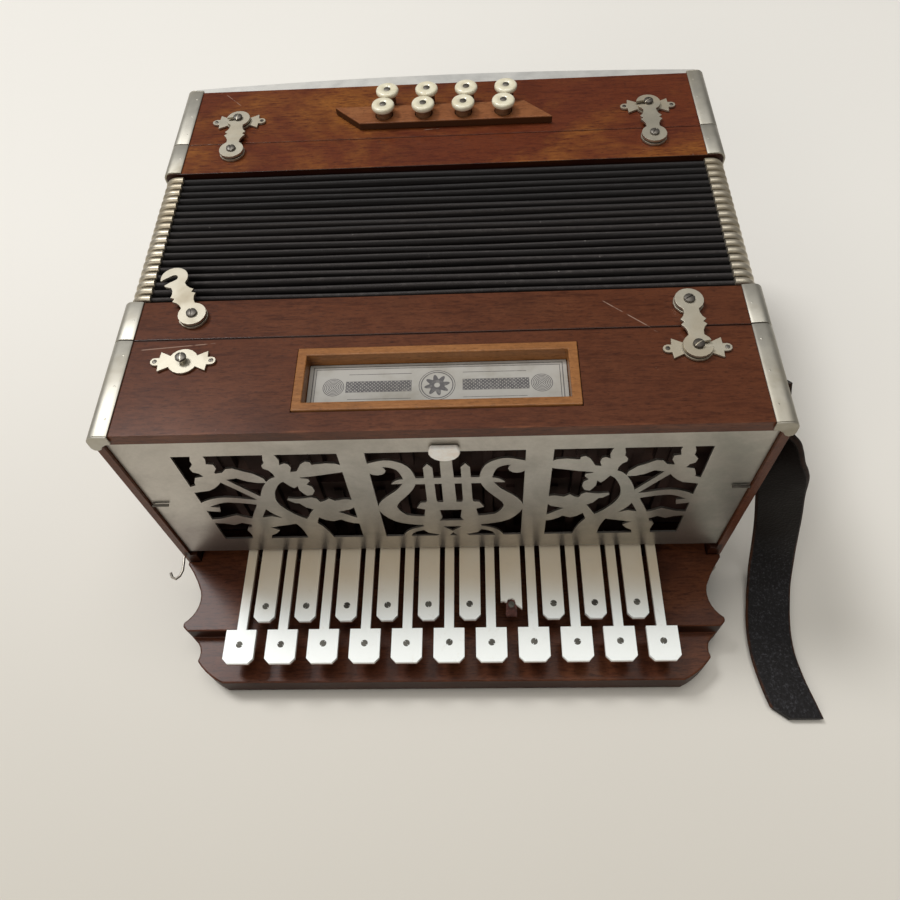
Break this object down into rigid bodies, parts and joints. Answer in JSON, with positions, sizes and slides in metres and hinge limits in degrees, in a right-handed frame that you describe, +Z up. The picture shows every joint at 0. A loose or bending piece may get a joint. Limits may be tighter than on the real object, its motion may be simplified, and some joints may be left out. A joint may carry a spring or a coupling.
{
  "type": "button accordion",
  "caption": "Button accordion lying on its back: wooden ends, folding bellows, rows of key levers behind a pierced grille, bass buttons, latch hooks and straps.",
  "frame": {"origin": "centre of the treble case's flat underside, which lies on the table", "axes": "+X along the keyboard, +Y from the keyboard end to the bass end, +Z up out of the latched face"},
  "size_m": [0.3278, 0.3575, 0.1558],
  "materials": {
    "mahogany": "satin varnish, worn",
    "dark_mahogany": "thin dull varnish",
    "light_wood": "satin varnish",
    "inner_wood": "bare",
    "nickel": "nickel plate, dulled",
    "steel": "bare drawn wire",
    "dull_metal": "dull sheet metal",
    "white_touch": "polished white facing",
    "ivory": "yellowed ivory colour",
    "pearl": "pearl",
    "paper": "printed card",
    "black_cloth": "waxed cloth over card",
    "black_leather": "worn"
  },
  "bodies": {
    "treble_end": {"treble_case": "mahogany", "treble_frame": "mahogany", "fingerboard": "dark_mahogany", "action_board": "inner_wood", "treble_reed_block": "inner_wood", "key_axle": "steel", "key_springs": "steel", "grille": "dull_metal", "grille_pull": "pearl", "grille_pin_left": "steel", "grille_pin_right": "steel", "label_frame": "light_wood", "label_card": "paper", "treble_keeper_left": "nickel", "treble_keeper_right": "nickel", "shoulder_strap": "black_leather", "strap_stud": "nickel", "bellows": "black_cloth"},
    "bass_end": {"bass_frame": "mahogany", "bass_case": "mahogany", "bass_end_cover": "dull_metal", "bass_button_board": "light_wood", "bass_reed_block": "inner_wood", "hand_strap": "black_leather", "bass_keeper_left": "nickel", "bass_keeper_right": "nickel"},
    "outer_key_01": {"outer_key_01": "white_touch"},
    "outer_key_02": {"outer_key_02": "white_touch"},
    "outer_key_03": {"outer_key_03": "white_touch"},
    "outer_key_04": {"outer_key_04": "white_touch"},
    "outer_key_05": {"outer_key_05": "white_touch"},
    "outer_key_06": {"outer_key_06": "white_touch"},
    "outer_key_07": {"outer_key_07": "white_touch"},
    "outer_key_08": {"outer_key_08": "white_touch"},
    "outer_key_09": {"outer_key_09": "white_touch"},
    "outer_key_10": {"outer_key_10": "white_touch"},
    "outer_key_11": {"outer_key_11": "white_touch"},
    "inner_key_01": {"inner_key_01": "white_touch"},
    "inner_key_02": {"inner_key_02": "white_touch"},
    "inner_key_03": {"inner_key_03": "white_touch"},
    "inner_key_04": {"inner_key_04": "white_touch"},
    "inner_key_05": {"inner_key_05": "white_touch"},
    "inner_key_06": {"inner_key_06": "white_touch"},
    "inner_key_07": {"inner_key_07": "white_touch"},
    "inner_key_08": {"inner_key_08": "white_touch"},
    "inner_key_09": {"inner_key_09": "white_touch"},
    "inner_key_10": {"inner_key_10": "white_touch"},
    "bass_button_1": {"bass_button_1": "ivory"},
    "bass_button_2": {"bass_button_2": "ivory"},
    "bass_button_3": {"bass_button_3": "ivory"},
    "bass_button_4": {"bass_button_4": "ivory"},
    "bass_button_5": {"bass_button_5": "ivory"},
    "bass_button_6": {"bass_button_6": "ivory"},
    "bass_button_7": {"bass_button_7": "ivory"},
    "bass_button_8": {"bass_button_8": "ivory"},
    "air_button": {"air_button": "nickel"},
    "treble_hook_left": {"treble_hook_left": "nickel"},
    "treble_hook_right": {"treble_hook_right": "nickel"},
    "bass_hook_left": {"bass_hook_left": "nickel"},
    "bass_hook_right": {"bass_hook_right": "nickel"}
  },
  "joints": [
    {"name": "bellows_slide", "type": "slide", "parent": "treble_end", "child": "bass_end", "axis": [0, 1, 0], "range_m": [0, 0.25], "deforming": ["bellows"]},
    {"name": "outer_key_01_hinge", "type": "hinge", "parent": "treble_end", "child": "outer_key_01", "pos_m": [-0.103, -0.015, 0.0255], "axis": [1, 0, 0], "range_deg": [0, 4.1], "stiffness_Nm_per_rad": 0.3, "springref_deg": -9.74},
    {"name": "outer_key_02_hinge", "type": "hinge", "parent": "treble_end", "child": "outer_key_02", "pos_m": [-0.0824, -0.015, 0.0255], "axis": [1, 0, 0], "range_deg": [0, 4.1], "stiffness_Nm_per_rad": 0.3, "springref_deg": -9.74},
    {"name": "outer_key_03_hinge", "type": "hinge", "parent": "treble_end", "child": "outer_key_03", "pos_m": [-0.0618, -0.015, 0.0255], "axis": [1, 0, 0], "range_deg": [0, 4.1], "stiffness_Nm_per_rad": 0.3, "springref_deg": -9.74},
    {"name": "outer_key_04_hinge", "type": "hinge", "parent": "treble_end", "child": "outer_key_04", "pos_m": [-0.0412, -0.015, 0.0255], "axis": [1, 0, 0], "range_deg": [0, 4.1], "stiffness_Nm_per_rad": 0.3, "springref_deg": -9.74},
    {"name": "outer_key_05_hinge", "type": "hinge", "parent": "treble_end", "child": "outer_key_05", "pos_m": [-0.0206, -0.015, 0.0255], "axis": [1, 0, 0], "range_deg": [0, 4.1], "stiffness_Nm_per_rad": 0.3, "springref_deg": -9.74},
    {"name": "outer_key_06_hinge", "type": "hinge", "parent": "treble_end", "child": "outer_key_06", "pos_m": [0, -0.015, 0.0255], "axis": [1, 0, 0], "range_deg": [0, 4.1], "stiffness_Nm_per_rad": 0.3, "springref_deg": -9.74},
    {"name": "outer_key_07_hinge", "type": "hinge", "parent": "treble_end", "child": "outer_key_07", "pos_m": [0.0206, -0.015, 0.0255], "axis": [1, 0, 0], "range_deg": [0, 4.1], "stiffness_Nm_per_rad": 0.3, "springref_deg": -9.74},
    {"name": "outer_key_08_hinge", "type": "hinge", "parent": "treble_end", "child": "outer_key_08", "pos_m": [0.0412, -0.015, 0.0255], "axis": [1, 0, 0], "range_deg": [0, 4.1], "stiffness_Nm_per_rad": 0.3, "springref_deg": -9.74},
    {"name": "outer_key_09_hinge", "type": "hinge", "parent": "treble_end", "child": "outer_key_09", "pos_m": [0.0618, -0.015, 0.0255], "axis": [1, 0, 0], "range_deg": [0, 4.1], "stiffness_Nm_per_rad": 0.3, "springref_deg": -9.74},
    {"name": "outer_key_10_hinge", "type": "hinge", "parent": "treble_end", "child": "outer_key_10", "pos_m": [0.0824, -0.015, 0.0255], "axis": [1, 0, 0], "range_deg": [0, 4.1], "stiffness_Nm_per_rad": 0.3, "springref_deg": -9.74},
    {"name": "outer_key_11_hinge", "type": "hinge", "parent": "treble_end", "child": "outer_key_11", "pos_m": [0.103, -0.015, 0.0255], "axis": [1, 0, 0], "range_deg": [0, 4.1], "stiffness_Nm_per_rad": 0.3, "springref_deg": -9.74},
    {"name": "inner_key_01_hinge", "type": "hinge", "parent": "treble_end", "child": "inner_key_01", "pos_m": [-0.0927, -0.015, 0.0255], "axis": [1, 0, 0], "range_deg": [0, 5], "stiffness_Nm_per_rad": 0.3, "springref_deg": -9.74},
    {"name": "inner_key_02_hinge", "type": "hinge", "parent": "treble_end", "child": "inner_key_02", "pos_m": [-0.0721, -0.015, 0.0255], "axis": [1, 0, 0], "range_deg": [0, 5], "stiffness_Nm_per_rad": 0.3, "springref_deg": -9.74},
    {"name": "inner_key_03_hinge", "type": "hinge", "parent": "treble_end", "child": "inner_key_03", "pos_m": [-0.0515, -0.015, 0.0255], "axis": [1, 0, 0], "range_deg": [0, 5], "stiffness_Nm_per_rad": 0.3, "springref_deg": -9.74},
    {"name": "inner_key_04_hinge", "type": "hinge", "parent": "treble_end", "child": "inner_key_04", "pos_m": [-0.0309, -0.015, 0.0255], "axis": [1, 0, 0], "range_deg": [0, 5], "stiffness_Nm_per_rad": 0.3, "springref_deg": -9.74},
    {"name": "inner_key_05_hinge", "type": "hinge", "parent": "treble_end", "child": "inner_key_05", "pos_m": [-0.0103, -0.015, 0.0255], "axis": [1, 0, 0], "range_deg": [0, 5], "stiffness_Nm_per_rad": 0.3, "springref_deg": -9.74},
    {"name": "inner_key_06_hinge", "type": "hinge", "parent": "treble_end", "child": "inner_key_06", "pos_m": [0.0103, -0.015, 0.0255], "axis": [1, 0, 0], "range_deg": [0, 5], "stiffness_Nm_per_rad": 0.3, "springref_deg": -9.74},
    {"name": "inner_key_07_hinge", "type": "hinge", "parent": "treble_end", "child": "inner_key_07", "pos_m": [0.0309, -0.015, 0.0255], "axis": [1, 0, 0], "range_deg": [0, 5], "stiffness_Nm_per_rad": 0.3, "springref_deg": -9.74},
    {"name": "inner_key_08_hinge", "type": "hinge", "parent": "treble_end", "child": "inner_key_08", "pos_m": [0.0515, -0.015, 0.0255], "axis": [1, 0, 0], "range_deg": [0, 5], "stiffness_Nm_per_rad": 0.3, "springref_deg": -9.74},
    {"name": "inner_key_09_hinge", "type": "hinge", "parent": "treble_end", "child": "inner_key_09", "pos_m": [0.0721, -0.015, 0.0255], "axis": [1, 0, 0], "range_deg": [0, 5], "stiffness_Nm_per_rad": 0.3, "springref_deg": -9.74},
    {"name": "inner_key_10_hinge", "type": "hinge", "parent": "treble_end", "child": "inner_key_10", "pos_m": [0.0927, -0.015, 0.0255], "axis": [1, 0, 0], "range_deg": [0, 5], "stiffness_Nm_per_rad": 0.3, "springref_deg": -9.74},
    {"name": "bass_button_1_slide", "type": "slide", "parent": "bass_end", "child": "bass_button_1", "axis": [0, 0, -1], "range_m": [0, 0.003], "stiffness_N_per_m": 300, "springref_m": -0.003},
    {"name": "bass_button_2_slide", "type": "slide", "parent": "bass_end", "child": "bass_button_2", "axis": [0, 0, -1], "range_m": [0, 0.003], "stiffness_N_per_m": 300, "springref_m": -0.003},
    {"name": "bass_button_3_slide", "type": "slide", "parent": "bass_end", "child": "bass_button_3", "axis": [0, 0, -1], "range_m": [0, 0.003], "stiffness_N_per_m": 300, "springref_m": -0.003},
    {"name": "bass_button_4_slide", "type": "slide", "parent": "bass_end", "child": "bass_button_4", "axis": [0, 0, -1], "range_m": [0, 0.003], "stiffness_N_per_m": 300, "springref_m": -0.003},
    {"name": "bass_button_5_slide", "type": "slide", "parent": "bass_end", "child": "bass_button_5", "axis": [0, 0, -1], "range_m": [0, 0.003], "stiffness_N_per_m": 300, "springref_m": -0.003},
    {"name": "bass_button_6_slide", "type": "slide", "parent": "bass_end", "child": "bass_button_6", "axis": [0, 0, -1], "range_m": [0, 0.003], "stiffness_N_per_m": 300, "springref_m": -0.003},
    {"name": "bass_button_7_slide", "type": "slide", "parent": "bass_end", "child": "bass_button_7", "axis": [0, 0, -1], "range_m": [0, 0.003], "stiffness_N_per_m": 300, "springref_m": -0.003},
    {"name": "bass_button_8_slide", "type": "slide", "parent": "bass_end", "child": "bass_button_8", "axis": [0, 0, -1], "range_m": [0, 0.003], "stiffness_N_per_m": 300, "springref_m": -0.003},
    {"name": "air_button_slide", "type": "slide", "parent": "bass_end", "child": "air_button", "axis": [0, -1, 0], "range_m": [0, 0.005], "stiffness_N_per_m": 300, "springref_m": -0.003},
    {"name": "treble_hook_left_hinge", "type": "hinge", "parent": "treble_end", "child": "treble_hook_left", "pos_m": [-0.1072, 0.0368, 0.145], "axis": [0, 0, 1], "range_deg": [0, 151]},
    {"name": "treble_hook_right_hinge", "type": "hinge", "parent": "treble_end", "child": "treble_hook_right", "pos_m": [0.1072, 0.0368, 0.145], "axis": [0, 0, 1], "range_deg": [-150, 0]},
    {"name": "bass_hook_left_hinge", "type": "hinge", "parent": "bass_end", "child": "bass_hook_left", "pos_m": [-0.1072, 0.1479, 0.145], "axis": [0, 0, 1], "range_deg": [-150, 0]},
    {"name": "bass_hook_right_hinge", "type": "hinge", "parent": "bass_end", "child": "bass_hook_right", "pos_m": [0.1072, 0.1479, 0.145], "axis": [0, 0, 1], "range_deg": [-150, 0]}
  ]
}
